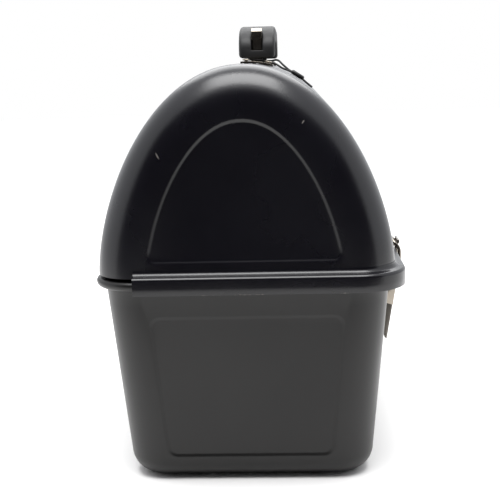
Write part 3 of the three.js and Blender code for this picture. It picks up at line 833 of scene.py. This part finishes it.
def make_lid():
    rows = [arch_row(-1, step, 8) for step in range(8, -1, -1)]
    first = rows[-1]
    for i in range(1, 8):
        rows.append([(x, y * (1 - i / 4), z) for x, y, z in first])
    rows += [arch_row(1, step, 8) for step in range(9)]
    barrel = grow_rings("lid_body", rows, closed=False, first_cap=False, last_cap=False)
    shell = join_pieces([barrel, end_face(-1), end_face(1)])
    work_on(shell)
    top = max(shell.data.polygons, key=lambda p: p.center.z)
    if top.normal.z < 0:
        bpy.ops.object.mode_set(mode="EDIT")
        bpy.ops.mesh.select_all(action="SELECT")
        bpy.ops.mesh.flip_normals()
        bpy.ops.object.mode_set(mode="OBJECT")
    apply_modifier(shell, "sheet", "SOLIDIFY", thickness=SHEET * MM, offset=-1, use_even_offset=True)
    flange = make_flange()
    start_clean()
    flange.select_set(True)
    shell.select_set(True)
    bpy.context.view_layer.objects.active = shell
    bpy.ops.object.join()
    finish_piece(shell, lid_paint_shaded_copy, "lid", 40, ["lid_shell"])


make_lid()


# ---------------------------------------------------------------- hardware and handle
def copy_node(name):
    """A copy of a frame node at the origin, with its flat facets merged into whole faces."""
    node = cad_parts[name]
    start_clean()
    piece = node.copy()
    piece.data = node.data.copy()
    piece.parent = None
    bpy.context.scene.collection.objects.link(piece)
    piece.data.transform(node.matrix_world)
    piece.matrix_world = Matrix.Identity(4)
    piece.name = name + "_finished"
    work_on(piece)
    bpy.ops.object.mode_set(mode="EDIT")
    bpy.ops.mesh.select_all(action="SELECT")
    bpy.ops.mesh.remove_doubles(threshold=0.002 * MM)
    bpy.ops.mesh.dissolve_limited(angle_limit=math.radians(1.5))
    bpy.ops.mesh.normals_make_consistent(inside=False)
    bpy.ops.object.mode_set(mode="OBJECT")
    return piece


def body_of(name):
    if name == "handle_grip":
        return "handle"
    for side in ("left", "right"):
        for part in ("lever", "bail"):
            if name == f"latch_{side}_{part}":
                return name
    tub_parts = ("_tub_", "_pin", "_plate", "_pivot_")
    if any(part in name for part in tub_parts):
        return "tub"
    return "lid"


def make_hardware():
    for name in list(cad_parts):
        if name in ("tub_shell", "lid_shell", "tag_cord"):
            continue
        piece = copy_node(name)
        material, slot = nickel, "plated_steel"
        if name.endswith("_lever"):
            material, slot = zinc, "lever_steel"
        if name == "handle_grip":
            material, slot = grip_plastic, "grip_plastic"
        if "_rivet_" in name or name.endswith("_bail"):
            apply_modifier(piece, "round", "SUBSURF", levels=2, render_levels=2)
            finish_piece(piece, material, body_of(name), 60, [name])
            continue
        width = 0.9 if name == "handle_grip" else 0.28
        apply_modifier(
            piece,
            "worn_edges",
            "BEVEL",
            width=width * MM,
            segments=3,
            limit_method="ANGLE",
            angle_limit=math.radians(38),
            use_clamp_overlap=True,
        )
        finish_piece(piece, material, body_of(name), 40, [name])


make_hardware()


# ---------------------------------------------------------------- floor and light
def pale_floor_material():
    """Matt white paper sweep: plain, with a cloudiness too faint to notice."""
    material, tree, output, place = new_material("white_paper_sweep")
    clouds = grain(tree, place, 300, 2.0, 0.5)
    colour = ramp(tree, clouds, "Fac", ((0.3, "#f4f3f1"), (0.7, "#f8f7f6")))
    shader = add_node(
        tree,
        "ShaderNodeBsdfPrincipled",
        values={"Roughness": 0.9, "IOR": 1.3},
        links={"Base Color": (colour, 0)},
    )
    tree.links.new(shader.outputs[0], output.inputs["Surface"])
    return material


def make_floor():
    start_clean()
    bpy.ops.mesh.primitive_plane_add(size=8, location=(0, 0, -0.0002))
    floor = bpy.context.object
    floor.name = "floor"
    floor.data.materials.append(pale_floor_material())


def soft_light(name, spot, aim, size, radiance):
    data = bpy.data.lights.new(name, "AREA")
    data.shape = "RECTANGLE"
    data.size, data.size_y = size
    data.energy = radiance * math.pi * size[0] * size[1]
    light = bpy.data.objects.new(name, data)
    bpy.context.scene.collection.objects.link(light)
    light.location = spot
    direction = Vector(aim) - Vector(spot)
    light.rotation_euler = direction.to_track_quat("-Z", "Y").to_euler()


def make_light():
    soft_light("softbox_over_the_end", (0.0, -0.31, 1.0), (0, -0.1, 0.1), (0.8, 0.6), 9.0)
    soft_light("softbox_behind", (0.0, 0.75, 0.95), (0, 0, 0.1), (1.2, 0.7), 3.0)
    world = bpy.data.worlds.new("studio")
    bpy.context.scene.world = world
    world.use_nodes = True
    tree = world.node_tree
    tree.nodes.clear()
    output = add_node(tree, "ShaderNodeOutputWorld")
    seen = add_node(tree, "ShaderNodeLightPath")
    white = add_node(tree, "ShaderNodeBackground", values={"Color": linear("#ffffff"), "Strength": 1.0})
    walls = add_node(tree, "ShaderNodeBackground", values={"Color": linear("#f7f9fc"), "Strength": 1.2})
    both = add_node(
        tree,
        "ShaderNodeMixShader",
        links={0: (seen, "Is Camera Ray"), 1: (walls, 0), 2: (white, 0)},
    )
    tree.links.new(both.outputs[0], output.inputs["Surface"])


def dark_card():
    """Matt black card hung in front of the end face, which keeps the face black."""
    start_clean()
    bpy.ops.mesh.primitive_plane_add(size=1, location=(0.03, -0.48, 0.25), rotation=(math.pi / 2, 0, 0))
    card = bpy.context.object
    card.name = "black_card"
    card.scale = (1.3, 0.52, 1)
    material, tree, output, place = new_material("black_card")
    fibres = grain(tree, place, 4, 2.0, 0.5)
    colour = ramp(tree, fibres, "Fac", ((0.3, "#0c0c0d"), (0.7, "#141416")))
    shader = add_node(
        tree,
        "ShaderNodeBsdfPrincipled",
        values={"Roughness": 0.95},
        links={"Base Color": (colour, 0)},
    )
    tree.links.new(shader.outputs[0], output.inputs["Surface"])
    card.data.materials.append(material)
    card.visible_camera = False
    card.visible_shadow = False


make_floor()
make_light()
dark_card()
bpy.context.scene.view_settings.view_transform = "Standard"
bpy.context.scene.view_settings.look = "None"
